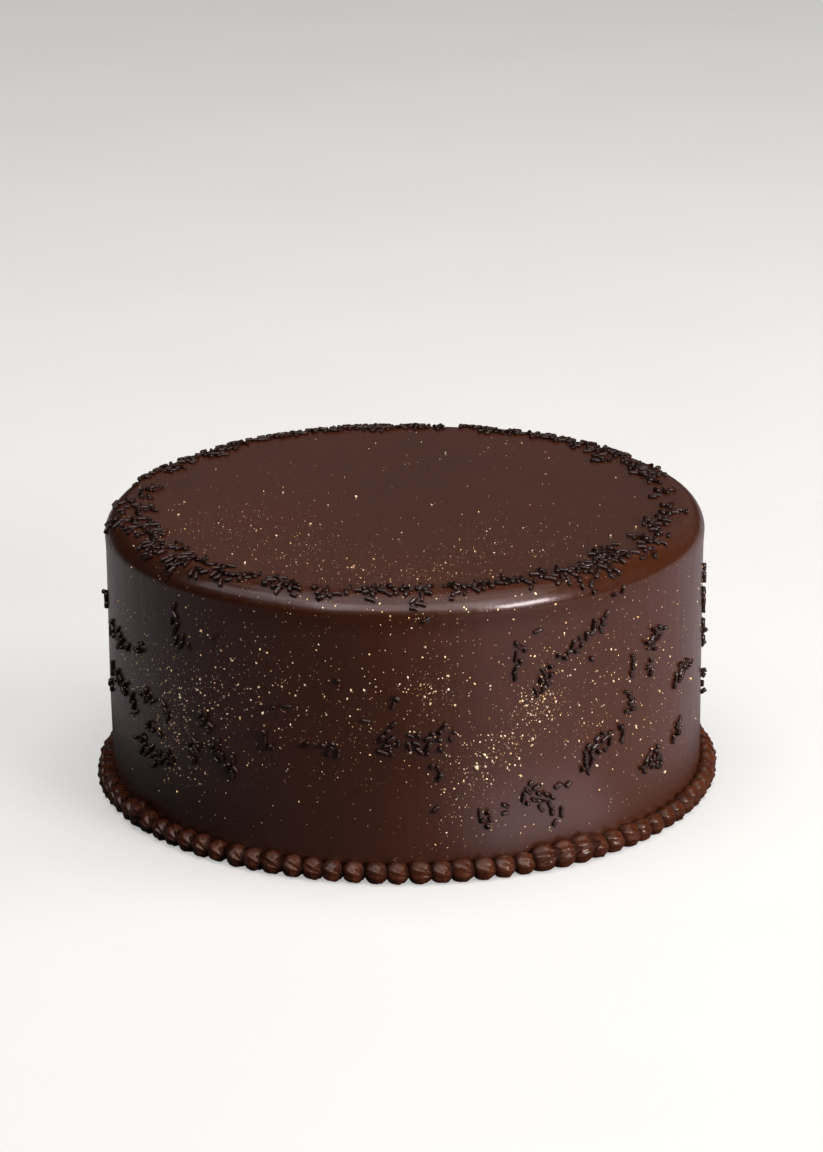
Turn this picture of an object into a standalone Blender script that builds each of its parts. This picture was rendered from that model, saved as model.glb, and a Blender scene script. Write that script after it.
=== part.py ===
"""A glazed chocolate truffle cake: a round cake with a rounded top edge, chocolate sprinkles
stuck in loose drifts to its glaze, and a piped border of ganache beads round its foot.

Units are metres, +Z is up, and the cake stands on Z = 0 with its axis on the Z axis.
Azimuth is 0 at the front, -Y, and grows towards +X. Run it with blender --background --python part.py
"""

import math

import bmesh
import bpy
import numpy as np
from mathutils import Matrix, Vector

# The cake
CAKE_RADIUS = 0.1016  # a cake of 8 inches
CAKE_HEIGHT = 0.0955
EDGE_RADIUS = 0.0075  # the rounded edge of the glaze
FOOT_BEVEL = 0.001
ROUND_SEGMENTS = 94  # one for each bead, whose edges fall between the beads
EDGE_STEPS = 5
SHARP_ANGLE = math.radians(40)

# The piped border
BEAD_COUNT = 94
BEAD_RADIUS = 0.0038
BEAD_CENTRE_RADIUS = 0.1033  # from the cake's axis to a bead's centre
BEAD_CENTRE_HEIGHT = 0.0031
BEAD_UNEVENNESS = 0.05  # share of the radius
BEAD_STRAY = 0.06  # how far a bead strays along the border, in pitches
BEAD_TAILS = (0.15, 0.29)  # how far the drawn-out tip stands past the ball, in bead radii
TAIL_POWER = 5  # a higher power draws out less of the ball
BEAD_TAIL_WAY = (1.0, 0.65, -0.1)  # along the border, outward and up
BEAD_STRETCH = 1.12  # along the border, so that each bead runs into the next
BEAD_SEGMENTS = 6
BEAD_RINGS = 5
BEAD_SEED = 5
BORDER_GAP = 0.0003
LUMP_SIZE = 1.15
LUMP_TAIL = 0.75
LUMP_TAIL_WAY = (1.0, 0.3, 0.8)
LUMPS = ((22.0, 35.0), (-62.0, -57.0))  # azimuths between which the beads are drawn-up lumps

# The sprinkles
SPRINKLE_RADIUS = 0.00068
SPRINKLE_LENGTHS = (0.0018, 0.0040)
SPRINKLE_LIFT = 0.6  # the axis lies this many radii above the glaze
SPRINKLE_SIDES = 5
SPRINKLE_SHARE = 0.21  # the share of each drift that is modelled, longest first
SPRINKLE_SEED = 11
HEADING_SPREAD = 30.0  # degrees by which a sprinkle strays from its drift's heading
WITHIN = (0.1, 0.9)  # where a sprinkle or a clump lies in its share of the drift
CLUMP_SIZE = 5
CLUMP_SPREAD = 0.0017
LOWEST_SPRINKLE = 0.0115
INNERMOST_SPRINKLE = 0.080

# The drifts on the top: azimuth from and to, distance along the skin from the middle of the top,
# spread, sprinkles. They lie any way round.
TOP_DRIFTS = (
    (-112, -95, 0.0925, 0.0026, 14),
    (-95, -80, 0.0925, 0.0036, 20),
    (-80, -65, 0.0915, 0.0040, 26),
    (-66, -56, 0.0945, 0.0034, 24),
    (-59, -46, 0.0940, 0.0034, 42),
    (-47, -38, 0.0905, 0.0018, 14),
    (-43, -37, 0.0990, 0.0016, 8),
    (-37, -31, 0.0950, 0.0024, 13),
    (-30, -22, 0.0980, 0.0014, 10),
    (-23, -9, 0.0975, 0.0022, 14),
    (-7, 12, 0.0975, 0.0018, 36),
    (13, 18, 0.0990, 0.0020, 8),
    (19, 30, 0.0970, 0.0028, 15),
    (30, 42, 0.0965, 0.0028, 30),
    (42, 52, 0.0920, 0.0034, 38),
    (50, 57, 0.0955, 0.0022, 15),
    (58, 63, 0.0925, 0.0018, 11),
    (62, 67, 0.0940, 0.0018, 10),
    (67, 73, 0.0895, 0.0026, 15),
    (75, 92, 0.0895, 0.0036, 18),
    (92, 105, 0.0890, 0.0034, 11),
    (104, 113, 0.0890, 0.0026, 14),
    (112, 130, 0.0905, 0.0022, 28),
    (130, 180, 0.0930, 0.0012, 46),
    (180, 225, 0.0930, 0.0012, 42),
    (225, 248, 0.0925, 0.0020, 22),
)

# The drifts on the front of the side: azimuth and height at each end, spread, heading in degrees
# from level, sprinkles
FRONT_DRIFTS = (
    (-76, 0.060, -68, 0.060, 0.0018, 70, 10),
    (-68, 0.058, -64, 0.060, 0.0006, 20, 2),
    (-60, 0.062, -57, 0.062, 0.0008, 60, 3),
    (-76, 0.049, -76, 0.044, 0.0006, 90, 2),
    (-73, 0.047, -66, 0.042, 0.0011, 110, 8),
    (-79, 0.039, -76, 0.037, 0.0006, 80, 2),
    (-63, 0.042, -62, 0.038, 0.0010, 60, 4),
    (-58, 0.047, -55, 0.045, 0.0012, 45, 5),
    (-51, 0.048, -50, 0.042, 0.0005, 85, 3),
    (-57, 0.036, -55, 0.037, 0.0008, 20, 3),
    (-61, 0.029, -57, 0.032, 0.0008, 10, 3),
    (-60, 0.027, -49, 0.027, 0.0013, 80, 14),
    (-43, 0.038, -42, 0.033, 0.0011, 70, 6),
    (-40, 0.049, -39, 0.042, 0.0011, 80, 6),
    (-38, 0.037, -33, 0.031, 0.0014, 85, 10),
    (-47, 0.082, -47, 0.075, 0.0005, 85, 4),
    (-47, 0.073, -44, 0.072, 0.0012, 60, 6),
    (-24, 0.057, -21, 0.057, 0.0005, 20, 2),
    (-27, 0.046, -25, 0.042, 0.0007, 110, 4),
    (-14, 0.046, -13, 0.042, 0.0009, 60, 4),
    (-4, 0.048, -2, 0.045, 0.0013, 40, 6),
    (-3, 0.060, -1, 0.061, 0.0004, 48, 2),
    (1, 0.047, 3, 0.046, 0.0011, 100, 5),
    (3, 0.045, 7, 0.052, 0.0006, 65, 7),
    (8, 0.049, 9, 0.049, 0.0006, 75, 2),
    (5, 0.040, 6, 0.035, 0.0004, 80, 3),
    (13, 0.022, 15, 0.017, 0.0006, 80, 4),
    (18, 0.024, 18, 0.021, 0.0005, 20, 2),
    (21, 0.024, 24, 0.028, 0.0006, 50, 5),
    (24, 0.024, 26, 0.023, 0.0012, 120, 7),
    (28, 0.028, 31, 0.027, 0.0004, 50, 2),
    (28, 0.015, 30, 0.017, 0.0005, 60, 2),
    (21, 0.078, 20, 0.067, 0.0004, 90, 6),
    (26, 0.068, 25, 0.060, 0.0008, 85, 7),
    (29, 0.071, 33, 0.074, 0.0006, 50, 6),
    (35, 0.076, 36, 0.079, 0.0005, 80, 3),
    (38, 0.078, 39, 0.081, 0.0005, 90, 3),
    (41, 0.088, 44, 0.088, 0.0003, 80, 2),
    (51, 0.066, 54, 0.071, 0.0012, 75, 10),
    (51, 0.061, 52, 0.055, 0.0004, 80, 3),
    (46, 0.064, 46, 0.058, 0.0003, 88, 3),
    (45, 0.051, 46, 0.046, 0.0007, 40, 5),
    (44, 0.042, 43, 0.036, 0.0005, 80, 3),
    (37, 0.039, 40, 0.040, 0.0012, 50, 8),
    (36, 0.037, 35, 0.031, 0.0008, 75, 7),
    (62, 0.053, 70, 0.050, 0.0005, 30, 4),
    (60, 0.047, 64, 0.049, 0.0010, 80, 5),
    (61, 0.028, 63, 0.032, 0.0007, 80, 5),
    (53, 0.027, 55, 0.023, 0.0011, 80, 10),
    (49, 0.023, 51, 0.025, 0.0004, 75, 3),
    (82, 0.074, 86, 0.058, 0.0012, 80, 6),
    (84, 0.055, 88, 0.044, 0.0010, 80, 6),
    (84, 0.040, 86, 0.028, 0.0008, 80, 4),
)
STRAYS = 16  # single sprinkles on the front of the side
STRAY_AZIMUTHS = (-66, 72)
SIDE_HEIGHTS = (0.019, 0.084)  # between which strays and the drifts of the back lie
BACK_DRIFTS = 26
BACK_AZIMUTHS = (94, 276)
BACK_SPREAD = 0.0012
BACK_LEAN = 4.0  # degrees of azimuth between the ends of a drift
BACK_DROP = 0.006
BACK_HEADINGS = (40, 120)
BACK_COUNTS = (3, 13)


def clear_scene():
    for obj in list(bpy.data.objects):
        bpy.data.objects.remove(obj)


def collection_named(name):
    made = bpy.data.collections.new(name)
    bpy.context.scene.collection.children.link(made)
    return made


def material_named(name, colour, roughness):
    made = bpy.data.materials.new(name)
    made.use_nodes = True
    shader = made.node_tree.nodes["Principled BSDF"]
    shader.inputs["Base Color"].default_value = (*colour, 1.0)
    shader.inputs["Roughness"].default_value = roughness
    shader.inputs["Metallic"].default_value = 0.0
    return made


def added(name, mesh, collection):
    obj = bpy.data.objects.new(name, mesh)
    collection.objects.link(obj)
    return obj


def added_shape(name, shape, collection):
    """An object at the origin that holds a bmesh."""
    mesh = bpy.data.meshes.new(name)
    shape.to_mesh(mesh)
    shape.free()
    return added(name, mesh, collection)


def turned(name, profile, collection):
    """A closed solid turned round Z from (radius, height) points that run down its outer side."""
    mesh = bpy.data.meshes.new(name)
    edges = [(i, i + 1) for i in range(len(profile) - 1)]
    mesh.from_pydata([(r, 0.0, z) for r, z in profile], edges, [])
    obj = added(name, mesh, collection)
    screw = obj.modifiers.new("turn", "SCREW")
    screw.steps = ROUND_SEGMENTS
    screw.render_steps = ROUND_SEGMENTS
    screw.use_merge_vertices = True
    screw.merge_threshold = 0.0001
    return obj


def applied(obj):
    """The object with its modifiers made part of its mesh."""
    graph = bpy.context.evaluated_depsgraph_get()
    mesh = bpy.data.meshes.new_from_object(obj.evaluated_get(graph))
    obj.modifiers.clear()
    obj.data = mesh
    return obj


def joined(obj, pieces):
    """One Boolean union of the object with every piece of a collection, which is then removed."""
    union = obj.modifiers.new("join", "BOOLEAN")
    union.operation = "UNION"
    union.operand_type = "COLLECTION"
    union.collection = pieces
    union.solver = "EXACT"
    applied(obj)
    for piece in list(pieces.objects):
        bpy.data.objects.remove(piece)
    bpy.data.collections.remove(pieces)
    return obj


def largest_shell(obj):
    """The object with only its largest shell, which fills any hollow that the union sealed."""
    shape = bmesh.new()
    shape.from_mesh(obj.data)
    shells = []
    unseen = set(shape.verts)
    while unseen:
        shell = {unseen.pop()}
        edge = set(shell)
        while edge:
            edge = {e.other_vert(v) for v in edge for e in v.link_edges} - shell
            shell |= edge
        unseen -= shell
        shells.append(shell)
    largest = max(shells, key=len)
    loose = [v for v in shape.verts if v not in largest]
    bmesh.ops.delete(shape, geom=loose, context="VERTS")
    shape.to_mesh(obj.data)
    shape.free()
    return obj


def smoothed(obj):
    obj.data.shade_smooth()
    obj.data.set_sharp_from_angle(angle=SHARP_ANGLE)
    return obj


# ---- the glaze's skin ----


def skin(distance):
    """(radius, height, outward slope, upward slope) of the skin at a distance from the middle of
    the top, measured over the rounded edge and down the side."""
    flat = CAKE_RADIUS - EDGE_RADIUS
    bend = EDGE_RADIUS * math.pi / 2
    if distance <= flat:
        return distance, CAKE_HEIGHT, 0.0, 1.0
    if distance >= flat + bend:
        return CAKE_RADIUS, CAKE_HEIGHT - EDGE_RADIUS - (distance - flat - bend), 1.0, 0.0
    angle = (distance - flat) / EDGE_RADIUS
    outward, upward = math.sin(angle), math.cos(angle)
    return (
        flat + EDGE_RADIUS * outward,
        CAKE_HEIGHT - EDGE_RADIUS + EDGE_RADIUS * upward,
        outward,
        upward,
    )


def down_the_side(height):
    """The skin distance of a height on the side."""
    return CAKE_RADIUS - EDGE_RADIUS + EDGE_RADIUS * math.pi / 2 + CAKE_HEIGHT - EDGE_RADIUS - height


def round_frame(azimuth):
    """(outward, along) unit vectors at an azimuth in degrees."""
    a = math.radians(azimuth)
    return Vector((math.sin(a), -math.cos(a), 0)), Vector((math.cos(a), math.sin(a), 0))


# ---- the sprinkles ----


def drifts(rng):
    """Every drift as azimuth and skin distance at both ends, spread, heading and count. No
    heading means that its sprinkles lie any way round."""
    for a0, a1, distance, spread, count in TOP_DRIFTS:
        clumps = max(1, round(count / CLUMP_SIZE))
        for i in range(clumps):
            azimuth = a0 + (a1 - a0) * (i + rng.uniform(*WITHIN)) / clumps
            middle = distance + rng.normal(0, spread)
            share = count // clumps + (i < count % clumps)
            yield azimuth, middle, azimuth, middle, CLUMP_SPREAD, None, share
    for a0, z0, a1, z1, spread, heading, count in FRONT_DRIFTS:
        yield a0, down_the_side(z0), a1, down_the_side(z1), spread, heading, count
    for _ in range(STRAYS):
        azimuth = rng.uniform(*STRAY_AZIMUTHS)
        distance = down_the_side(rng.uniform(*SIDE_HEIGHTS))
        yield azimuth, distance, azimuth, distance, CLUMP_SPREAD, None, 1
    step = (BACK_AZIMUTHS[1] - BACK_AZIMUTHS[0]) / BACK_DRIFTS
    for i in range(BACK_DRIFTS):
        azimuth = BACK_AZIMUTHS[0] + step * (i + rng.uniform(*WITHIN))
        distance = down_the_side(rng.uniform(*SIDE_HEIGHTS))
        lean, drop = rng.uniform(-1, 1, 2) * (BACK_LEAN, BACK_DROP)
        heading, count = rng.uniform(*BACK_HEADINGS), int(rng.integers(*BACK_COUNTS))
        yield azimuth, distance, azimuth + lean, distance + drop, BACK_SPREAD, heading, count


def thrown(rng, row):
    """A drift's sprinkles, longest first: azimuth, skin distance, heading and length."""
    a0, s0, a1, s1, spread, heading, count = row
    along = (np.arange(count) + rng.uniform(*WITHIN, count)) / count
    step = rng.normal(0, spread, (2, count))
    azimuth = a0 + (a1 - a0) * along + np.degrees(step[0] / CAKE_RADIUS)
    distance = s0 + (s1 - s0) * along + step[1]
    distance = np.clip(distance, INNERMOST_SPRINKLE, down_the_side(LOWEST_SPRINKLE))
    if heading is None:
        headings = rng.uniform(0, 180, count)
    else:
        headings = rng.normal(heading, HEADING_SPREAD, count)
    length = rng.uniform(*SPRINKLE_LENGTHS, count)
    order = np.argsort(-length)
    return np.stack([azimuth, distance, headings, length], axis=1)[order]


def sprinkle(name, azimuth, distance, heading, length, collection):
    """A short stick that lies on the skin, a little sunk into it."""
    radius, height, out, up = skin(distance)
    outward, along = round_frame(azimuth)
    normal = outward * out + Vector((0, 0, up))
    turn = math.radians(heading)
    axis = along * math.cos(turn) + normal.cross(along) * math.sin(turn)
    centre = outward * radius + Vector((0, 0, height)) + normal * SPRINKLE_RADIUS * SPRINKLE_LIFT
    way = Matrix((normal.cross(axis), normal, axis)).transposed().to_4x4()
    shape = bmesh.new()
    bmesh.ops.create_cone(
        shape,
        cap_ends=True,
        segments=SPRINKLE_SIDES,
        radius1=SPRINKLE_RADIUS,
        radius2=SPRINKLE_RADIUS,
        depth=length,
    )
    shape.transform(Matrix.Translation(centre) @ way)
    return added_shape(name, shape, collection)


def sprinkles(collection):
    """The longest share of each drift's sprinkles, one at least of a drift of three or more."""
    rng = np.random.default_rng(SPRINKLE_SEED)
    for i, row in enumerate(drifts(rng)):
        sticks = thrown(rng, row)
        kept = max(int(len(sticks) > 2), round(len(sticks) * SPRINKLE_SHARE))
        for j, stick in enumerate(sticks[:kept]):
            sprinkle(f"sprinkle_{i}_{j}", *map(float, stick), collection)


# ---- the cake ----


def glazed_cake(collection):
    """The cake, solid to its foot, with the sprinkles fused to its glaze."""
    flat, shoulder = CAKE_RADIUS - EDGE_RADIUS, CAKE_HEIGHT - EDGE_RADIUS
    profile = [(0.0, CAKE_HEIGHT)]
    for i in range(EDGE_STEPS + 1):
        a = math.pi / 2 * (1 - i / EDGE_STEPS)
        profile.append((flat + EDGE_RADIUS * math.cos(a), shoulder + EDGE_RADIUS * math.sin(a)))
    profile += [(CAKE_RADIUS, FOOT_BEVEL), (CAKE_RADIUS - FOOT_BEVEL, 0.0), (0.0, 0.0)]
    cake = applied(turned("glazed_cake", profile, collection))
    loose = collection_named("loose_sprinkles")
    sprinkles(loose)
    return smoothed(largest_shell(joined(cake, loose)))


# ---- the border ----


def bead(name, azimuth, size, tail, way, collection):
    """A ball of ganache drawn out into a tip, flat where it lies on the floor and beside the
    cake. way is the tip's direction as (along the border, outward, up). Each point moves that
    way by the tail times a power of its share of the radius, so only the end is drawn out."""
    radius = BEAD_RADIUS * size
    shape = bmesh.new()
    bmesh.ops.create_uvsphere(
        shape, u_segments=BEAD_SEGMENTS, v_segments=BEAD_RINGS, radius=radius
    )
    for v in shape.verts:
        v.co.z += tail * radius * max(0.0, v.co.z / radius) ** TAIL_POWER
    outward, along = round_frame(azimuth)
    centre = outward * BEAD_CENTRE_RADIUS + Vector((0, 0, BEAD_CENTRE_HEIGHT * size))
    tip = along * way[0] + outward * way[1] + Vector((0, 0, way[2]))
    turn = tip.to_track_quat("Z", "Y").to_matrix().to_4x4()
    stretch = Matrix.Scale(BEAD_STRETCH, 4, along)
    shape.transform(Matrix.Translation(centre) @ stretch @ turn)
    nearest = CAKE_RADIUS + BORDER_GAP
    for v in shape.verts:
        v.co.xy *= max(1.0, nearest / v.co.xy.length)
        v.co.z = max(0.0, v.co.z)
    return added_shape(name, shape, collection)


def bead_rows():
    """Each bead round the foot, uneven by hand, with drawn-up lumps among them: azimuth, size,
    tail and the tail's way."""
    rng = np.random.default_rng(BEAD_SEED)
    pitch = 360 / BEAD_COUNT
    for i in range(BEAD_COUNT):
        azimuth = pitch * (i + 0.5) - 180
        size = 1 + BEAD_UNEVENNESS * float(rng.uniform(-1, 1))
        stray = pitch * BEAD_STRAY * float(rng.uniform(-1, 1))
        tail = float(rng.uniform(*BEAD_TAILS))
        way = BEAD_TAIL_WAY
        if any(first < azimuth < last for first, last in LUMPS):
            size, tail, way = LUMP_SIZE, LUMP_TAIL, LUMP_TAIL_WAY
        yield azimuth + stray, size, tail, way


def piped_border(collection):
    """The ring of beads, each run into the next."""
    first, *rest = bead_rows()
    border = bead("piped_border", *first, collection)
    loose = collection_named("loose_beads")
    for i, row in enumerate(rest):
        bead(f"bead_{i}", *row, loose)
    return smoothed(joined(border, loose))


def main():
    clear_scene()
    parts = collection_named("chocolate_truffle_cake")
    glaze = material_named("chocolate_glaze", (0.055, 0.024, 0.017), 0.35)
    ganache = material_named("piped_ganache", (0.090, 0.034, 0.021), 0.40)
    glazed_cake(parts).data.materials.append(glaze)
    piped_border(parts).data.materials.append(ganache)


main()
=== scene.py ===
# %% [markdown]
# # A glazed chocolate truffle cake
# The real thing is a round cake under a satin chocolate glaze. Chocolate sprinkles lie in a ring
# on its top and in loose drifts on its side, gold dust is blown over it, and a row of ganache
# beads is piped round its foot. The CAD frame holds the cake and the border as plain solids, and
# this lesson dresses them: each piece is a surface worked out with numpy, and each finish is a
# small tree of shader nodes.

# %% The frame
import math

import bpy
import numpy as np
from mathutils import Matrix, Vector


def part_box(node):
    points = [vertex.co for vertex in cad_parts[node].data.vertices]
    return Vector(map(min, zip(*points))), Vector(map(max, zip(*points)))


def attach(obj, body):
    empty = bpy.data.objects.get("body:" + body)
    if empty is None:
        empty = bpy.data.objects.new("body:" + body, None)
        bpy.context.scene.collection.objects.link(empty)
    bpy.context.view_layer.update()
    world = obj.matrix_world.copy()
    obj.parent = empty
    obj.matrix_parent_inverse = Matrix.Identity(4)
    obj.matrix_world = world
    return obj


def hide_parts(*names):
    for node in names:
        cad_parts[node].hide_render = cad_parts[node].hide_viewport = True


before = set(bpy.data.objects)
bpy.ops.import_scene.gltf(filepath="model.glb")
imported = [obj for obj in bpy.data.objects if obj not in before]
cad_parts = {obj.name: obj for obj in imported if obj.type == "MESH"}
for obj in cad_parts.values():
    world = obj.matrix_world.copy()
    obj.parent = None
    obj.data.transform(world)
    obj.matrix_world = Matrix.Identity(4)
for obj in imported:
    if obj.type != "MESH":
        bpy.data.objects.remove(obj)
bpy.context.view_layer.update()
print("the frame holds", ", ".join(sorted(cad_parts)))

# %% [markdown]
# ## The sizes
# A scene that dresses a CAD part repeats its driving sizes. They are in metres, Z is up, and the
# cake stands on Z = 0. An azimuth is 0 at the front, which is -Y, and grows towards +X. The frame
# itself says how wide the border is, so we can see at once whether the two still agree.

# %% The sizes of the cake and of its border
CAKE_RADIUS = 0.1016
CAKE_HEIGHT = 0.0955
EDGE_RADIUS = 0.0075
FLAT = CAKE_RADIUS - EDGE_RADIUS
BEND = EDGE_RADIUS * math.pi / 2
FOOT_BEVEL = 0.001

BEAD_COUNT = 94
BEAD_RADIUS = 0.0038
BEAD_CENTRE_RADIUS = 0.1033
BEAD_CENTRE_HEIGHT = 0.0031

low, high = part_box("piped_border")
print(f"border {1000 * (high.x - low.x):.1f} mm wide in the frame,",
      f"{2000 * (BEAD_CENTRE_RADIUS + BEAD_RADIUS):.1f} mm by these sizes")

# %% [markdown]
# ## A mesh from a grid
# Every piece here is closed like a balloon: rows of points run round an axis, and one point
# closes each end. One helper can therefore make them all. It takes many shells at once, as one
# array, so a thousand sprinkles cost one call and no loop over points.

# %% Shells from rows of points


def shells(name, rows, poles, smooth=True):
    """One mesh of closed shells. rows is (shell, row, column, xyz) and poles is (shell, 2, xyz).
    Each row is joined to the next by quads that wrap round, and the end rows to the poles by
    fans. Columns run anticlockwise seen from the first pole, so that faces point outwards."""
    count, height, width, _ = rows.shape
    points = np.concatenate([rows.reshape(count, -1, 3), poles], axis=1)
    here = np.arange(height * width).reshape(height, width)
    there = np.roll(here, -1, axis=1)
    quads = np.stack([here[:-1], here[1:], there[1:], there[:-1]], axis=-1).reshape(-1, 4)
    ends = height * width + np.zeros(width, int)
    first = np.stack([ends, here[0], there[0]], axis=-1)
    last = np.stack([ends + 1, there[-1], here[-1]], axis=-1)
    start = (np.arange(count) * points.shape[1])[:, None, None]
    quads = (quads + start).reshape(-1, 4)
    fans = (np.concatenate([first, last]) + start).reshape(-1, 3)
    mesh = bpy.data.meshes.new(name)
    mesh.from_pydata(points.reshape(-1, 3), [], quads.tolist() + fans.tolist())
    if smooth:
        mesh.shade_smooth()
    piece = bpy.data.objects.new(name, mesh)
    bpy.context.scene.collection.objects.link(piece)
    triangles = 2 * len(quads) + len(fans)
    print(f"{name}: {count} shells, {triangles} triangles")
    return piece


# %% [markdown]
# ## Helpers for shader nodes
# A material is a tree of nodes, and wiring one by hand takes many lines. A few small helpers keep
# the recipes short. A value that is a socket gets linked, and any other is set.

# %% One node at a time


def node(tree, kind, inputs=None, **settings):
    """Adds a node. inputs maps a socket's name or number to a value or to another's output."""
    made = tree.nodes.new(kind)
    for key, value in settings.items():
        setattr(made, key, value)
    for key, value in (inputs or {}).items():
        if isinstance(value, bpy.types.NodeSocket):
            tree.links.new(value, made.inputs[key])
        else:
            made.inputs[key].default_value = value
    return made


def maths(tree, operation, *values, clamp=False):
    """The result of a Math node."""
    inputs = dict(enumerate(values))
    return node(tree, "ShaderNodeMath", inputs, operation=operation, use_clamp=clamp).outputs[0]


def product(tree, first, *others):
    """The product of two or more values."""
    for other in others:
        first = maths(tree, "MULTIPLY", first, other)
    return first


def between(tree, value, low, high, to_low=0.0, to_high=1.0):
    """The value run smoothly from low..high to to_low..to_high, and held outside."""
    names = ("Value", "From Min", "From Max", "To Min", "To Max")
    inputs = dict(zip(names, (value, low, high, to_low, to_high)))
    kind = "ShaderNodeMapRange"
    return node(tree, kind, inputs, interpolation_type="SMOOTHSTEP").outputs[0]


def mixed(tree, factor, first, second):
    """The first colour at factor 0 and the second at 1."""
    inputs = {0: factor, 6: first, 7: second}
    return node(tree, "ShaderNodeMix", inputs, data_type="RGBA").outputs[2]


def noise(tree, where, scale, detail=2.0):
    """A cloudy pattern around 0.5. Its clouds are about one over the scale across, in metres."""
    inputs = {"Vector": where, "Scale": scale, "Detail": detail}
    return node(tree, "ShaderNodeTexNoise", inputs).outputs["Fac"]


def bumped(tree, height, strength, depth):
    """The normals of a surface that the height lifts by up to the depth."""
    inputs = {"Height": height, "Strength": strength, "Distance": depth}
    return node(tree, "ShaderNodeBump", inputs).outputs[0]


print("node helpers ready")

# %% [markdown]
# An effect that several finishes share is a node group with named sockets, so each material can
# place it with its own values. A group holds only the pattern, and the shader itself stays in the
# material, where the export can read it.

# %% Groups and materials


def group_named(name, takes, gives):
    """An empty node group. takes maps input names to default values, and gives is a list of
    (name, socket type)."""
    group = bpy.data.node_groups.new(name, "ShaderNodeTree")
    for key, value in takes.items():
        kind = "NodeSocketVector" if isinstance(value, tuple) else "NodeSocketFloat"
        socket = group.interface.new_socket(key, in_out="INPUT", socket_type=kind)
        socket.default_value = value
    for key, kind in gives:
        group.interface.new_socket(key, in_out="OUTPUT", socket_type=kind)
    return group, group.nodes.new("NodeGroupInput"), group.nodes.new("NodeGroupOutput")


def grouped(tree, group, **inputs):
    """The outputs of a node that holds the group, with its inputs set."""
    return node(tree, "ShaderNodeGroup", inputs, node_tree=group).outputs


def material_named(name, **settings):
    """A Principled material: its tree, its shader and its Object coordinates."""
    material = bpy.data.materials.new(name)
    material.use_nodes = True
    tree = material.node_tree
    shader = tree.nodes["Principled BSDF"]
    for key, value in settings.items():
        shader.inputs[key.replace("_", " ")].default_value = value
    return material, tree, shader, tree.nodes.new("ShaderNodeTexCoord").outputs["Object"]


def fed(tree, shader, inputs):
    """Links values to the shader's inputs."""
    for key, value in inputs.items():
        tree.links.new(value, shader.inputs[key])


print("group and material helpers ready")

# %% [markdown]
# ## The skin of the glaze
# Glaze poured over a cake levels itself, so its skin is a flat top, a rounded edge and an upright
# side, and the only unevenness is what the palette knife left. We measure along the skin from the
# middle of the top, over the edge and down, because then one number places a point anywhere on
# it. The same function later seats the sprinkles and the gold.

# %% Points on the skin


def skin(distance):
    """(radius, height, outward, upward) at a distance along the skin. Past the flat top the
    angle of the edge grows as distance over edge radius up to a right angle, and its sine and
    cosine turn the skin from level to upright. What is left of the distance runs down."""
    angle = np.clip((distance - FLAT) / EDGE_RADIUS, 0, math.pi / 2)
    outward, upward = np.sin(angle), np.cos(angle)
    radius = np.minimum(distance, FLAT) + EDGE_RADIUS * outward
    drop = np.maximum(0, distance - FLAT - BEND)
    return radius, CAKE_HEIGHT - EDGE_RADIUS + EDGE_RADIUS * upward - drop, outward, upward


def down_the_side(height):
    """The distance along the skin of a height on the side."""
    return FLAT + BEND + CAKE_HEIGHT - EDGE_RADIUS - height


print(f"{1000 * down_the_side(0):.0f} mm along the skin from the middle of the top to the foot")

# %% [markdown]
# A skin that is poured and smoothed by hand isn't quite true. Three slow waves and a slight swell
# below the edge are enough to bend a reflection, and far too small to change the shape.

# %% How uneven the skin is
WAVE_DEPTH = 0.00014
SWELL_DEPTH = 0.00022
SWELL_WIDTH = 0.0026
UP = np.array([0.0, 0.0, 1.0])

# height, waves round the cake, slant down the skin, phase
WAVES = ((1.0, 3, 4, 0), (0.6, 7, -5, 1), (0.4, 13, 9, 0))


def bell(value, middle, width):
    """A bell curve, 1 at its middle: e to the minus square of the widths from there."""
    return np.exp(-(((value - middle) / width) ** 2))


def unevenness(azimuth, distance):
    """How far the skin stands out, in metres: three slow waves round the cake, which fade
    towards the middle of the top, plus a bell curve along the skin, the swell where the glaze
    hung as it ran over the edge."""
    a, d = np.radians(azimuth), distance / CAKE_RADIUS
    waves = sum(high * np.sin(turns * a + slant * d + phase) for high, turns, slant, phase in WAVES)
    swell = bell(distance, FLAT + BEND, SWELL_WIDTH)
    return WAVE_DEPTH * waves * np.clip(d, 0, 1) ** 2 + SWELL_DEPTH * swell


def ways(azimuth):
    """The level directions outwards and along the border, at azimuths in degrees."""
    a = np.radians(azimuth)
    outward = np.stack([np.sin(a), -np.cos(a), 0 * a], axis=-1)
    return outward, np.stack([np.cos(a), np.sin(a), 0 * a], axis=-1)


def on_skin(azimuth, distance, lift=0.0):
    """The point that stands lift above the skin, and the skin's normal and its direction along
    the border there. Azimuths are in degrees."""
    level, along = ways(azimuth)
    radius, height, outward, upward = skin(distance)
    normal = level * outward[..., None] + UP * upward[..., None]
    out = lift + unevenness(azimuth, distance)
    point = level * radius[..., None] + UP * height[..., None] + normal * out[..., None]
    return point, normal, along


print(f"the swell stands out {1000 * unevenness(0.0, FLAT + BEND):.2f} mm at the front")

# %% [markdown]
# The mesh itself is a grid of azimuths and distances. Its rows are closer together over the edge,
# where the skin bends, and the last one draws in under the foot by the bevel.

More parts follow.
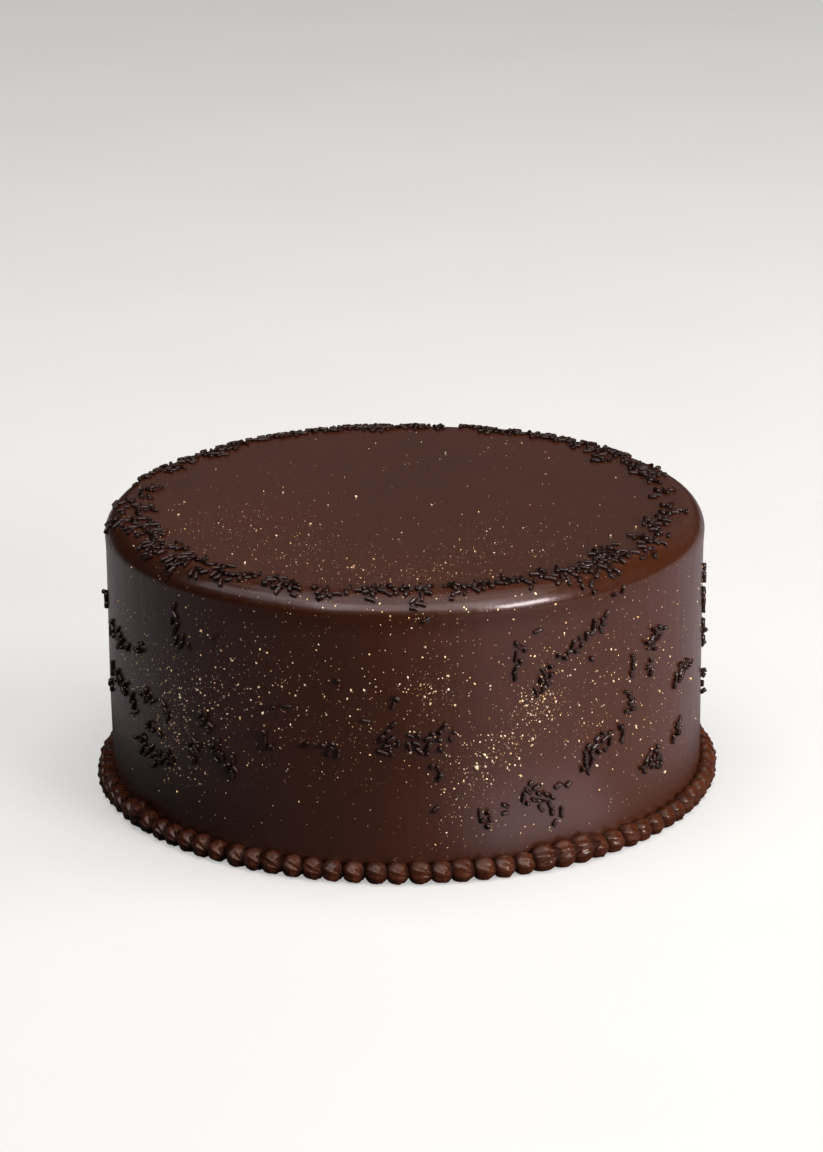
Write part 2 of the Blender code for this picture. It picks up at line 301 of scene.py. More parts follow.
# %% The mesh of the glaze
SKIN_COLUMNS = 400
TOP_ROWS, EDGE_ROWS, SIDE_ROWS = 26, 18, 44
row_distances = np.unique(np.concatenate([
    np.linspace(0.002, FLAT, TOP_ROWS),
    np.linspace(FLAT, FLAT + BEND, EDGE_ROWS),
    np.linspace(FLAT + BEND, down_the_side(FOOT_BEVEL), SIDE_ROWS),
]))
azimuths, distances = np.meshgrid(
    np.linspace(0, 360, SKIN_COLUMNS, endpoint=False), row_distances
)
rows, _, _ = on_skin(azimuths, distances)
foot = rows[-1] * (1 - FOOT_BEVEL / CAKE_RADIUS, 1 - FOOT_BEVEL / CAKE_RADIUS, 0)
rows = np.concatenate([rows, foot[None]])[None]
glaze_skin = shells(
    "glaze_skin", rows, np.array([[(0, 0, CAKE_HEIGHT), (0, 0, 0)]], float)
)

# %% [markdown]
# ## The beads of ganache
# The border is piped: the nozzle is held still until a ball has swollen, and is then drawn away
# along the cake, which leaves a small tip and a few folds that run to it. A ball with its end
# drawn out is a sphere whose polar angle is measured from the tip. Where two beads meet they
# simply run into each other.

# %% A row for each bead
BEAD_UNEVENNESS = 0.05
BEAD_STRAY = 0.06
BEAD_TAILS = (0.15, 0.29)
BEAD_TAIL_WAY = (1.0, 0.65, -0.1)
BEAD_SEED = 5
FOLD_DEPTH = 0.10
LUMPS = ((22.0, 35.0), (-62.0, -57.0))
LUMP_SIZE = 1.15
LUMP_TAIL = 0.75
LUMP_TAIL_WAY = (1.0, 0.45, 0.35)
LUMP_FOLD_DEPTH = 0.15


def bead_rows():
    """Each bead as azimuth, size, tail, fold depth and the tail's way, drawn in the same order
    as the CAD border draws them."""
    rng = np.random.default_rng(BEAD_SEED)
    pitch = 360 / BEAD_COUNT
    for i in range(BEAD_COUNT):
        azimuth = pitch * (i + 0.5) - 180
        size = 1 + BEAD_UNEVENNESS * rng.uniform(-1, 1)
        stray = pitch * BEAD_STRAY * rng.uniform(-1, 1)
        tail, fold, way = rng.uniform(*BEAD_TAILS), FOLD_DEPTH, BEAD_TAIL_WAY
        if any(first < azimuth < last for first, last in LUMPS):
            size, tail, fold, way = LUMP_SIZE, LUMP_TAIL, LUMP_FOLD_DEPTH, LUMP_TAIL_WAY
        yield azimuth + stray, size, tail, fold, *way


beads = np.array(list(bead_rows()))
print(len(beads), "beads,", (beads[:, 1] == LUMP_SIZE).sum(), "of them smeared into lumps")

# %% [markdown]
# Up close a piped bead has pleats, one ridge where the paste folded over, and a narrow collar
# where the nozzle broke off. Each is a term added to the ball's radius, so that one formula gives
# the whole border at once.

# %% Balls that are drawn out to a tip
TAIL_POWER = 9
FOLDS, FOLD_REACH, FOLD_TWIST = 6, 1.5, 0.3
RIDGE_HEIGHT = 1.2
RIDGE_TURN, RIDGE_LEAN, RIDGE_WIDTH = 0.7, 0.5, 0.30
RIDGE_MIDDLE, RIDGE_LENGTH = 0.8, 0.55
COLLAR_DEPTH = 0.07
COLLAR_MIDDLE, COLLAR_WIDTH, COLLAR_WAVE = 0.85, 0.17, 0.4
BEAD_BITE = 0.0001


def unit(vectors):
    return vectors / np.linalg.norm(vectors, axis=-1, keepdims=True)


def bead_radius(fold, theta, phi, rng):
    """The radius, in units of the ball's: 1, plus folds that swell and sink with phi and die out
    behind the tip, plus one ridge on the upper outer side, plus the collar, a narrow ring round
    the tip."""
    phase, twist, folds = rng.uniform(0, 6, (3, len(fold), 1, 1))
    folds = FOLDS + np.round(folds / 2)
    fade = bell(theta, 0, FOLD_REACH) * np.sin(theta)
    pleats = np.sin(folds * phi + phase + (twist - 3) * FOLD_TWIST * theta)
    turned = np.angle(np.exp(1j * (phi + RIDGE_TURN - RIDGE_LEAN * theta)))
    ridge = bell(turned, 0, RIDGE_WIDTH) * bell(theta, RIDGE_MIDDLE, RIDGE_LENGTH)
    collar = bell(theta, COLLAR_MIDDLE, COLLAR_WIDTH) * (1 + COLLAR_WAVE * np.sin(phi + phase))
    return 1 + fold * fade * pleats + RIDGE_HEIGHT * fold * ridge + COLLAR_DEPTH * collar


def bead_points(beads, theta, phi, rng):
    """Points of every bead at polar angles theta from the tip and angles phi round it. A point
    moves towards the tip by the tail times a high power of the cosine of theta. Points below the
    floor are lifted to it, and points inside the cake are pushed out to just under its skin."""
    azimuth, size, tail, fold, *way = (column[:, None, None] for column in beads.T)
    outward, along = ways(azimuth[:, 0, 0])
    tip = unit(along * way[0][:, 0] + outward * way[1][:, 0] + UP * way[2][:, 0])
    top = unit(UP - tip * tip[:, 2:3])
    side = np.cross(tip, top)
    radius = bead_radius(fold, theta, phi, rng)
    reach = radius * np.cos(theta)
    reach = reach + tail * np.maximum(0, np.cos(theta)) ** TAIL_POWER
    across = radius * np.sin(theta)
    local = (
        reach[..., None] * tip[:, None, None]
        + (across * np.cos(phi))[..., None] * top[:, None, None]
        + (across * np.sin(phi))[..., None] * side[:, None, None]
    )
    centre = outward * BEAD_CENTRE_RADIUS + UP * BEAD_CENTRE_HEIGHT * size[:, 0]
    points = centre[:, None, None] + local * BEAD_RADIUS * size[..., None]
    from_axis = np.linalg.norm(points[..., :2], axis=-1, keepdims=True)
    points[..., :2] *= np.maximum(1, (CAKE_RADIUS - BEAD_BITE) / from_axis)
    points[..., 2] = np.maximum(0, points[..., 2])
    return points


BEAD_ROWS, BEAD_COLUMNS = 21, 44
TIP_CROWDING = 1.3
theta = (math.pi * np.linspace(0, 1, BEAD_ROWS + 2) ** TIP_CROWDING)[None, :, None]
phi = np.linspace(0, 2 * math.pi, BEAD_COLUMNS, endpoint=False)[None, None, :]
points = bead_points(beads, theta, phi, np.random.default_rng(BEAD_SEED + 1))
piped_beads = shells("piped_beads", points[:, 1:-1], points[:, [0, -1], 0])

# %% [markdown]
# Where two beads meet, the light hardly reaches. The mesh carries how near each point is to a join
# as an attribute of its own, and the material reads it later to paint shade there and dull it.

# %% The joins between the beads


def nearness_to_joins(points, azimuth):
    """0 in the middle of a bead and 1 where it meets its neighbours: the angle off the bead's
    own azimuth, as a share of half the pitch."""
    where = np.degrees(np.arctan2(points[..., 0], -points[..., 1]))
    turn = (where - azimuth[:, None, None] + 180) % 360 - 180
    return np.clip(np.abs(turn) / (180 / BEAD_COUNT), 0, 1)


joins = nearness_to_joins(points, beads[:, 0])
values = np.concatenate([joins[:, 1:-1].reshape(BEAD_COUNT, -1), joins[:, [0, -1], 0]], axis=1)
join = piped_beads.data.attributes.new("join", "FLOAT", "POINT")
join.data.foreach_set("value", values.ravel())
print(f"{100 * (values > 0.6).mean():.0f}% of the beads' points are near a join")

# %% [markdown]
# ## Where the sprinkles lie
# Sprinkles are thrown by hand, so they land in drifts. Each row of the tables is one drift, and a
# seeded draw scatters its sprinkles. The CAD cake carries the longest of each drift, from the
# same tables and the same seed, so the draws here keep its order. The ring on the top comes first.

# %% The drifts of the ring
# azimuth from and to, distance along the skin, spread, sprinkles
TOP_DRIFTS = (
    (-112, -95, 0.0925, 0.0026, 14),
    (-95, -80, 0.0925, 0.0036, 20),
    (-80, -65, 0.0915, 0.0040, 26),
    (-66, -56, 0.0945, 0.0034, 24),
    (-59, -46, 0.0940, 0.0034, 42),
    (-47, -38, 0.0905, 0.0018, 14),
    (-43, -37, 0.0990, 0.0016, 8),
    (-37, -31, 0.0950, 0.0024, 13),
    (-30, -22, 0.0980, 0.0014, 10),
    (-23, -9, 0.0975, 0.0022, 14),
    (-7, 12, 0.0975, 0.0018, 36),
    (13, 18, 0.0990, 0.0020, 8),
    (19, 30, 0.0970, 0.0028, 15),
    (30, 42, 0.0965, 0.0028, 30),
    (42, 52, 0.0920, 0.0034, 38),
    (50, 57, 0.0955, 0.0022, 15),
    (58, 63, 0.0925, 0.0018, 11),
    (62, 67, 0.0940, 0.0018, 10),
    (67, 73, 0.0895, 0.0026, 15),
    (75, 92, 0.0895, 0.0036, 18),
    (92, 105, 0.0890, 0.0034, 11),
    (104, 113, 0.0890, 0.0026, 14),
    (112, 130, 0.0905, 0.0022, 28),
    (130, 180, 0.0930, 0.0012, 46),
    (180, 225, 0.0930, 0.0012, 42),
    (225, 248, 0.0925, 0.0020, 22),
)
print(sum(row[-1] for row in TOP_DRIFTS), "sprinkles in the ring's drifts")

# %% [markdown]
# On the side the sprinkles hang in short slanting strings, as they slid a little before the glaze
# set. Each string has two ends and a heading that most of its sprinkles share.

# %% The drifts on the front of the side
# azimuth and height at each end, spread, heading in degrees from level, sprinkles
FRONT_DRIFTS = (
    (-76, 0.060, -68, 0.060, 0.0018, 70, 10),
    (-68, 0.058, -64, 0.060, 0.0006, 20, 2),
    (-60, 0.062, -57, 0.062, 0.0008, 60, 3),
    (-76, 0.049, -76, 0.044, 0.0006, 90, 2),
    (-73, 0.047, -66, 0.042, 0.0011, 110, 8),
    (-79, 0.039, -76, 0.037, 0.0006, 80, 2),
    (-63, 0.042, -62, 0.038, 0.0010, 60, 4),
    (-58, 0.047, -55, 0.045, 0.0012, 45, 5),
    (-51, 0.048, -50, 0.042, 0.0005, 85, 3),
    (-57, 0.036, -55, 0.037, 0.0008, 20, 3),
    (-61, 0.029, -57, 0.032, 0.0008, 10, 3),
    (-60, 0.027, -49, 0.027, 0.0013, 80, 14),
    (-43, 0.038, -42, 0.033, 0.0011, 70, 6),
    (-40, 0.049, -39, 0.042, 0.0011, 80, 6),
    (-38, 0.037, -33, 0.031, 0.0014, 85, 10),
    (-47, 0.082, -47, 0.075, 0.0005, 85, 4),
    (-47, 0.073, -44, 0.072, 0.0012, 60, 6),
    (-24, 0.057, -21, 0.057, 0.0005, 20, 2),
    (-27, 0.046, -25, 0.042, 0.0007, 110, 4),
    (-14, 0.046, -13, 0.042, 0.0009, 60, 4),
    (-4, 0.048, -2, 0.045, 0.0013, 40, 6),
    (-3, 0.060, -1, 0.061, 0.0004, 48, 2),
    (1, 0.047, 3, 0.046, 0.0011, 100, 5),
    (3, 0.045, 7, 0.052, 0.0006, 65, 7),
    (8, 0.049, 9, 0.049, 0.0006, 75, 2),
    (5, 0.040, 6, 0.035, 0.0004, 80, 3),
    (13, 0.022, 15, 0.017, 0.0006, 80, 4),
    (18, 0.024, 18, 0.021, 0.0005, 20, 2),
    (21, 0.024, 24, 0.028, 0.0006, 50, 5),
    (24, 0.024, 26, 0.023, 0.0012, 120, 7),
    (28, 0.028, 31, 0.027, 0.0004, 50, 2),
    (28, 0.015, 30, 0.017, 0.0005, 60, 2),
    (21, 0.078, 20, 0.067, 0.0004, 90, 6),
    (26, 0.068, 25, 0.060, 0.0008, 85, 7),
    (29, 0.071, 33, 0.074, 0.0006, 50, 6),
    (35, 0.076, 36, 0.079, 0.0005, 80, 3),
    (38, 0.078, 39, 0.081, 0.0005, 90, 3),
    (41, 0.088, 44, 0.088, 0.0003, 80, 2),
    (51, 0.066, 54, 0.071, 0.0012, 75, 10),
    (51, 0.061, 52, 0.055, 0.0004, 80, 3),
    (46, 0.064, 46, 0.058, 0.0003, 88, 3),
    (45, 0.051, 46, 0.046, 0.0007, 40, 5),
    (44, 0.042, 43, 0.036, 0.0005, 80, 3),
    (37, 0.039, 40, 0.040, 0.0012, 50, 8),
    (36, 0.037, 35, 0.031, 0.0008, 75, 7),
    (62, 0.053, 70, 0.050, 0.0005, 30, 4),
    (60, 0.047, 64, 0.049, 0.0010, 80, 5),
    (61, 0.028, 63, 0.032, 0.0007, 80, 5),
    (53, 0.027, 55, 0.023, 0.0011, 80, 10),
    (49, 0.023, 51, 0.025, 0.0004, 75, 3),
    (82, 0.074, 86, 0.058, 0.0012, 80, 6),
    (84, 0.055, 88, 0.044, 0.0010, 80, 6),
    (84, 0.040, 86, 0.028, 0.0008, 80, 4),
)
print(sum(row[-1] for row in FRONT_DRIFTS), "sprinkles on the front of the side")

# %% [markdown]
# Each drift of the ring breaks up into small clumps. A few strays fill in between the strings on
# the side, and the back gets strings of its own, drawn at random. Every draw is seeded, so the cake
# is the same each time.

# %% Throwing the drifts
SPRINKLE_LENGTHS = (0.0018, 0.0040)
HEADING_SPREAD = 30.0
WITHIN = (0.1, 0.9)
CLUMP_SIZE = 5
CLUMP_SPREAD = 0.0017
LOWEST_SPRINKLE = 0.0115
INNERMOST_SPRINKLE = 0.080
STRAYS = 16
STRAY_AZIMUTHS = (-66, 72)
SIDE_HEIGHTS = (0.019, 0.084)
BACK_DRIFTS = 26
BACK_AZIMUTHS = (94, 276)
BACK_SPREAD = 0.0012
BACK_LEAN = 4.0
BACK_DROP = 0.006
BACK_HEADINGS = (40, 120)
BACK_COUNTS = (3, 13)


def drifts(rng):
    """Every drift as azimuth and skin distance at both ends, spread, heading and count. No
    heading means that its sprinkles lie any way round."""
    for a0, a1, distance, spread, count in TOP_DRIFTS:
        clumps = max(1, round(count / CLUMP_SIZE))
        for i in range(clumps):
            azimuth = a0 + (a1 - a0) * (i + rng.uniform(*WITHIN)) / clumps
            middle = distance + rng.normal(0, spread)
            share = count // clumps + (i < count % clumps)
            yield azimuth, middle, azimuth, middle, CLUMP_SPREAD, None, share
    for a0, z0, a1, z1, spread, heading, count in FRONT_DRIFTS:
        yield a0, down_the_side(z0), a1, down_the_side(z1), spread, heading, count
    for _ in range(STRAYS):
        azimuth = rng.uniform(*STRAY_AZIMUTHS)
        distance = down_the_side(rng.uniform(*SIDE_HEIGHTS))
        yield azimuth, distance, azimuth, distance, CLUMP_SPREAD, None, 1
    step = (BACK_AZIMUTHS[1] - BACK_AZIMUTHS[0]) / BACK_DRIFTS
    for i in range(BACK_DRIFTS):
        azimuth = BACK_AZIMUTHS[0] + step * (i + rng.uniform(*WITHIN))
        distance = down_the_side(rng.uniform(*SIDE_HEIGHTS))
        lean, drop = rng.uniform(-1, 1, 2) * (BACK_LEAN, BACK_DROP)
        heading, count = rng.uniform(*BACK_HEADINGS), int(rng.integers(*BACK_COUNTS))
        yield azimuth, distance, azimuth + lean, distance + drop, BACK_SPREAD, heading, count


def thrown(rng, row):
    """A drift's sprinkles, longest first: azimuth, skin distance, heading and length."""
    a0, s0, a1, s1, spread, heading, count = row
    along = (np.arange(count) + rng.uniform(*WITHIN, count)) / count
    step = rng.normal(0, spread, (2, count))
    azimuth = a0 + (a1 - a0) * along + np.degrees(step[0] / CAKE_RADIUS)
    distance = s0 + (s1 - s0) * along + step[1]
    distance = np.clip(distance, INNERMOST_SPRINKLE, down_the_side(LOWEST_SPRINKLE))
    if heading is None:
        headings = rng.uniform(0, 180, count)
    else:
        headings = rng.normal(heading, HEADING_SPREAD, count)
    length = rng.uniform(*SPRINKLE_LENGTHS, count)
    order = np.argsort(-length)
    return np.stack([azimuth, distance, headings, length], axis=1)[order]


print(len(TOP_DRIFTS) + len(FRONT_DRIFTS) + BACK_DRIFTS, "drifts to throw")

# %% [markdown]
# Some sprinkles are in the finished cake alone: single ones along the ring, most of them at the
# back. Then the ring settles. Its front is tucked in from the bend on to the flat, and where it is
# sparse, short sprinkles are left off. Nearly every sprinkle of the solid still has its finished
# one close by.

# %% Strewn and settled
SPRINKLE_SEED = 11
STREWN_HEADING_SPREAD = 40
TUCK = 0.0030
TUCK_AZIMUTHS = (-41, 29)
TUCK_FADE = 6.0
SPARSE_AZIMUTHS = ((-68, -37), (41, 125))
SPARSE_LENGTH = 0.0026

# azimuth from and to, distance along the skin, spread, sprinkles that the solid leaves out
STREWN = (
    (118, 242, 0.0937, 0.0011, 76),
    (-118, -62, 0.0925, 0.0032, 10),
    (60, 118, 0.0915, 0.0030, 12),
)


def strewn(rng, row):
    """Single sprinkles along the ring, which mostly lie along it."""
    a0, a1, middle, spread, count = row
    azimuth, length = rng.uniform(a0, a1, count), rng.uniform(*SPRINKLE_LENGTHS, count)
    distance = rng.normal(middle, spread, count)
    heading = rng.normal(0, STREWN_HEADING_SPREAD, count)
    return np.stack([azimuth, distance, heading, length], axis=1)


def settled(sticks):
    """The front of the ring moves inwards by the tuck, times a ramp that fades at both ends."""
    azimuth, distance, _, length = sticks.T
    first, last = TUCK_AZIMUTHS
    ramp = np.clip(np.minimum(azimuth - first, last - azimuth) / TUCK_FADE, 0, 1)
    on_top = distance < FLAT + BEND
    sparse = np.zeros(len(sticks), bool)
    for first, last in SPARSE_AZIMUTHS:
        sparse |= (first < azimuth) & (azimuth < last)
    kept = ~(on_top & sparse & (length < SPARSE_LENGTH))
    sticks[:, 1] = distance - TUCK * ramp * on_top
    return sticks[kept]


rng = np.random.default_rng(SPRINKLE_SEED)
sticks = [thrown(rng, row) for row in drifts(rng)] + [strewn(rng, row) for row in STREWN]
sticks = settled(np.concatenate(sticks))
print(len(sticks), "sprinkles thrown")

# %% [markdown]
# ## The sprinkles
# Chocolate vermicelli are short sticks with blunt ends, never quite straight. Those that landed
# nearly on one another roll apart first, as far as their neighbours let them.

# %% Rolling apart
LEAST_GAP = 0.0026
SPREAD_ROUNDS, SPREAD_STEP = 12, 0.5


def spread_out(sticks):
    """Sticks that landed nearly on one another roll apart. Each pair that is nearer than the
    least gap moves along the line between the two, by what is missing, and the shorter one
    moves most, as the cube of the lengths. Each round makes half of the move."""
    sticks = sticks.copy()
    weight = sticks[:, 3] ** 3
    share = weight / (weight + weight[:, None])
    for _ in range(SPREAD_ROUNDS):
        radius = skin(sticks[:, 1])[0]
        turn = (sticks[:, None, 0] - sticks[:, 0] + 180) % 360 - 180
        away = np.stack([np.radians(turn) * radius, sticks[:, None, 1] - sticks[:, 1]], axis=-1)
        gap = np.linalg.norm(away, axis=-1) + 1e-9
        push = np.maximum(0, LEAST_GAP - gap) * share / gap
        move = SPREAD_STEP * (away * push[..., None]).sum(axis=1)
        sticks[:, 0] += np.degrees(move[:, 0] / radius)
        sticks[:, 1] += move[:, 1]
    sticks[:, 1] = np.minimum(sticks[:, 1], down_the_side(LOWEST_SPRINKLE))
    return sticks


landed, sticks = sticks, spread_out(sticks)
print((sticks != landed).any(axis=1).sum(), "of the", len(sticks), "sprinkles rolled")

# %% [markdown]
# A bent stick is a profile carried along a shallow parabola. A short one that hits the side of
# the cake often stays stuck by its end. A few dozen faces each are enough, because they are small
# and smooth shaded.

# %% Sticks seated on the skin
SPRINKLE_LIFT = 0.6
STUCK_LENGTH = 0.0029
STUCK_SHARE = 0.5
STUCK_RISE = (0.5, 1.35)
STUCK_LIFT = 0.18


def seated(sticks, thick, rng):
    """The middle of each stick, its axis and two directions across it. Thick is its radius. A
    short stick on the side may stand up from it by the stuck rise. The third draw goes unused,
    and is there so that the later ones stay as they are."""
    azimuth, distance, heading, length = sticks.T
    chance, share, _ = rng.uniform(0, 1, (3, len(sticks)))
    stuck = (length < STUCK_LENGTH) & (distance > FLAT + BEND) & (chance < STUCK_SHARE)
    rise = (STUCK_RISE[0] + (STUCK_RISE[1] - STUCK_RISE[0]) * share) * stuck
    lift = thick * SPRINKLE_LIFT + STUCK_LIFT * length * np.sin(rise)
    middle, normal, along = on_skin(azimuth, distance, lift)
    turn = np.radians(heading)[:, None]
    flat = along * np.cos(turn) + np.cross(normal, along) * np.sin(turn)
    axis = unit(flat + normal * np.tan(rise)[:, None])
    third = unit(np.cross(axis, normal))
    return middle, axis, third, np.cross(third, axis)


print("at most", round(math.degrees(STUCK_RISE[1])), "degrees up from the side")

# %% Bent sticks
SPRINKLE_RADIUS = 0.00068
STICK_FULLNESS = 1.10
GIRTH_SPREAD = 0.09
STICK_COLUMNS = 9
STICK_REACH = np.array([-1, -0.97, -0.83, -0.28, 0.28, 0.83, 0.97, 1])
STICK_GIRTH = np.array([0, 0.70, 0.98, 1.0, 1.0, 0.98, 0.70, 0])
STICK_LUMPS = 0.07
STICK_BEND, BEND_MIDDLE = 0.10, 0.3


def stick_points(sticks, rng):
    """Points of every stick: its middle on the skin, plus reach along its axis, plus girth round
    it, plus a bend that grows as the square of the reach."""
    count = len(sticks)
    thick = SPRINKLE_RADIUS * STICK_FULLNESS * rng.normal(1, GIRTH_SPREAD, count)
    middle, axis, third, out = (v[:, None, None] for v in seated(sticks, thick, rng))
    bend = rng.normal(0, STICK_BEND, (count, 2))
    reach = STICK_REACH[None, :, None, None]
    phi = np.linspace(0, 2 * math.pi, STICK_COLUMNS, endpoint=False)[None, None, :, None]
    grid = (count, len(STICK_REACH), STICK_COLUMNS, 1)
    lumps = 1 + rng.uniform(-STICK_LUMPS, STICK_LUMPS, grid)
    girth = STICK_GIRTH[None, :, None, None] * lumps * thick[:, None, None, None]
    half = sticks[:, 3, None, None, None] / 2
    bent = out * bend[:, 0, None, None, None] + third * bend[:, 1, None, None, None]
    spine = middle - axis * half * reach + bent * half * (reach**2 - BEND_MIDDLE)
    return spine + girth * (np.cos(phi) * third + np.sin(phi) * out)


points = stick_points(sticks, np.random.default_rng(SPRINKLE_SEED + 1))
sprinkles = shells("chocolate_sprinkles", points[:, 1:-1], points[:, [0, -1], 0])

# %% [markdown]
# ## The gold dust
# Edible gold dust is flakes of leaf, mostly a quarter of a millimetre across, blown on in clouds
# with a few larger flakes among them. The clouds are tables, as the drifts are.

# %% Clouds of gold
# azimuth, height, spreads along and across, lean in degrees, flakes
GOLD_ON_SIDE = (
    (22, 0.053, 0.019, 0.006, 64, 330),
    (25, 0.058, 0.004, 0.0035, 40, 190),
    (16, 0.040, 0.010, 0.005, 50, 150),
    (11, 0.033, 0.008, 0.009, 0, 130),
    (36, 0.052, 0.012, 0.013, 0, 230),
    (-36, 0.066, 0.015, 0.011, 0, 240),
    (-48, 0.040, 0.013, 0.012, 0, 560),
    (-55, 0.056, 0.016, 0.014, 0, 360),
    (-14, 0.058, 0.020, 0.017, 0, 420),
    (5, 0.064, 0.005, 0.005, 0, 130),
    (52, 0.055, 0.012, 0.016, 0, 200),
    (0, 0.052, 0.075, 0.024, 0, 620),
    (112, 0.055, 0.016, 0.012, 40, 260),
    (152, 0.048, 0.018, 0.014, 20, 330),
    (196, 0.056, 0.016, 0.015, -30, 310),
    (238, 0.045, 0.016, 0.014, 10, 290),
    (180, 0.052, 0.075, 0.022, 0, 420),
)

# azimuth, distance from the middle, spread, flakes
TOP_CLOUDS = (
    (-66, 0.062, 0.021, 400),
    (-30, 0.066, 0.018, 330),
    (-7, 0.080, 0.013, 190),
    (12, 0.077, 0.013, 190),
    (34, 0.062, 0.018, 290),
    (170, 0.055, 0.020, 60),
)

# azimuth, height and radius of the flakes that show from far off
LARGE_FLAKES = (
    (12.5, 0.0375, 0.00095),
    (14.5, 0.0405, 0.00055),
    (-33, 0.0695, 0.00060),
    (-27, 0.0750, 0.00045),
    (-16, 0.0770, 0.00045),
    (3.5, 0.0790, 0.00060),
    (7, 0.0755, 0.00045),
    (32, 0.0655, 0.00050),
    (140, 0.0500, 0.00070),
    (205, 0.0600, 0.00060),
)
print(len(GOLD_ON_SIDE) + len(TOP_CLOUDS), "clouds and", len(LARGE_FLAKES), "large flakes")

# %% Where the flakes land
GOLD_SEED = 23
TOP_FLAKES = 320
LOWEST_GOLD = 0.010


def gold_on_side(rng):
    """Each cloud is a leaning bell-shaped scatter in distance round the cake and in height."""
    found = []
    for azimuth, height, wide, tall, lean, count in GOLD_ON_SIDE:
        along, across = rng.normal(0, 1, (2, count)) * [[wide], [tall]]
        turn = math.radians(lean)
        round_it = along * math.cos(turn) - across * math.sin(turn)
        up = along * math.sin(turn) + across * math.cos(turn)
        place = azimuth + np.degrees(round_it / CAKE_RADIUS)
        found.append(np.stack([place, down_the_side(height + up)], axis=1))
    return np.concatenate(found)


def gold_on_top(rng):
    """Some flakes lie evenly over the disc, as the square root of a share of its area, and the
    others in soft clouds."""
    reach = FLAT * np.sqrt(rng.uniform(0, 1, TOP_FLAKES))
    found = [np.stack([rng.uniform(-180, 180, TOP_FLAKES), reach], axis=1)]
    for azimuth, distance, spread, count in TOP_CLOUDS:
        a = math.radians(azimuth)
        middle = distance * np.array([math.sin(a), -math.cos(a)])
        xy = middle + rng.normal(0, spread, (count, 2))
        where = np.degrees(np.arctan2(xy[:, 0], -xy[:, 1]))
        found.append(np.stack([where, np.linalg.norm(xy, axis=1)], axis=1))
    return np.concatenate(found)


rng = np.random.default_rng(GOLD_SEED)
places = np.concatenate([gold_on_side(rng), gold_on_top(rng)])
places = places[places[:, 1] < down_the_side(LOWEST_GOLD)]
print(len(places), "flakes on the skin")

# %% [markdown]
# The flakes lie at every slant, which is why they glint one by one. Each is a tiny closed lens with
# five uneven corners, thick enough that its facets look several ways.

# %% Lenses of leaf
FLAKE_COLUMNS = 5
FLAKE_SIZE = 0.00012  # the median radius
FLAKE_SPREAD = 0.74
FLAKE_SIZES = (0.00006, 0.00050)
TOP_SHARE = 0.60
FLAKE_TILT = 0.6
FLAKE_LIFT = 0.4
FLAKE_THICKNESS = 0.65
CORNER_TURN = 0.35
CORNER_REACH = (0.6, 1.25)


def flake_points(places, size, rng):
    """Each flake is one row of uneven corners between two poles, in a plane tilted off the skin
    by a random slope. The poles stand off the plane by the thickness times the size."""
    azimuth, distance = places.T
    middle, normal, along = on_skin(azimuth, distance, FLAKE_LIFT * size)
    across = np.cross(normal, along)
    slope = rng.normal(0, FLAKE_TILT, (2, len(places), 1))
    facing = unit(normal + along * slope[0] + across * slope[1])
    u = unit(np.cross(facing, across))
    v = np.cross(facing, u)
    corners = (len(places), FLAKE_COLUMNS)
    phi = np.linspace(0, 2 * math.pi, FLAKE_COLUMNS, endpoint=False)
    phi = phi + rng.uniform(-CORNER_TURN, CORNER_TURN, corners)
    reach = size[:, None] * rng.uniform(*CORNER_REACH, corners)
    points = (reach * np.cos(phi))[..., None] * u[:, None]
    points = points + (reach * np.sin(phi))[..., None] * v[:, None] + middle[:, None]
    ends = facing * (FLAKE_THICKNESS * size)[:, None]
    return points[:, None], np.stack([middle + ends, middle - ends], axis=1)


sizes = FLAKE_SIZE * rng.lognormal(0, FLAKE_SPREAD, len(places))
sizes = np.clip(sizes * np.where(places[:, 1] < FLAT, TOP_SHARE, 1), *FLAKE_SIZES)
large = np.array(LARGE_FLAKES)
large[:, 1] = down_the_side(large[:, 1])
places = np.concatenate([places, large[:, :2]])
sizes = np.concatenate([sizes, large[:, 2]])
gold_dust = shells("gold_dust", *flake_points(places, sizes, rng), smooth=False)

# %% [markdown]
# ## What the finishes share
# Chocolate is never one flat brown. The cocoa and the milk part a little, and its surface keeps a
# fine unevenness. Both effects serve the glaze, the ganache and the sprinkles at different
# scales, so each is a node group that is built once.

# %% Node groups: mottle and softness


def mottle_group():
    """Cocoa and milk that part: two noises, one ten times finer, as a mask from 0 to 1."""
    group, takes, gives = group_named(
        "mottle", {"Where": (0.0, 0.0, 0.0), "Scale": 60.0}, [("Mask", "NodeSocketFloat")]
    )
    where, scale = takes.outputs["Where"], takes.outputs["Scale"]
    fine = noise(group, where, maths(group, "MULTIPLY", scale, 10.0), 3.0)
    both = maths(group, "MULTIPLY_ADD", fine, 0.35, noise(group, where, scale, 3.0))
    group.links.new(between(group, both, 0.45, 0.9), gives.inputs["Mask"])
    return group


def ripple_group():
    """The small unevenness of set chocolate: a height for a Bump node, soft waves with fine
    pits."""
    group, takes, gives = group_named(
        "ripple",
        {"Where": (0.0, 0.0, 0.0), "Scale": 90.0, "Pits": 0.2},
        [("Height", "NodeSocketFloat")],
    )
    where, scale = takes.outputs["Where"], takes.outputs["Scale"]
    pits = noise(group, where, maths(group, "MULTIPLY", scale, 14.0))
    height = maths(group, "MULTIPLY_ADD", pits, takes.outputs["Pits"], noise(group, where, scale))
    group.links.new(height, gives.inputs["Height"])
    return group


mottle, ripple = mottle_group(), ripple_group()
print("groups:", mottle.name, "and", ripple.name)
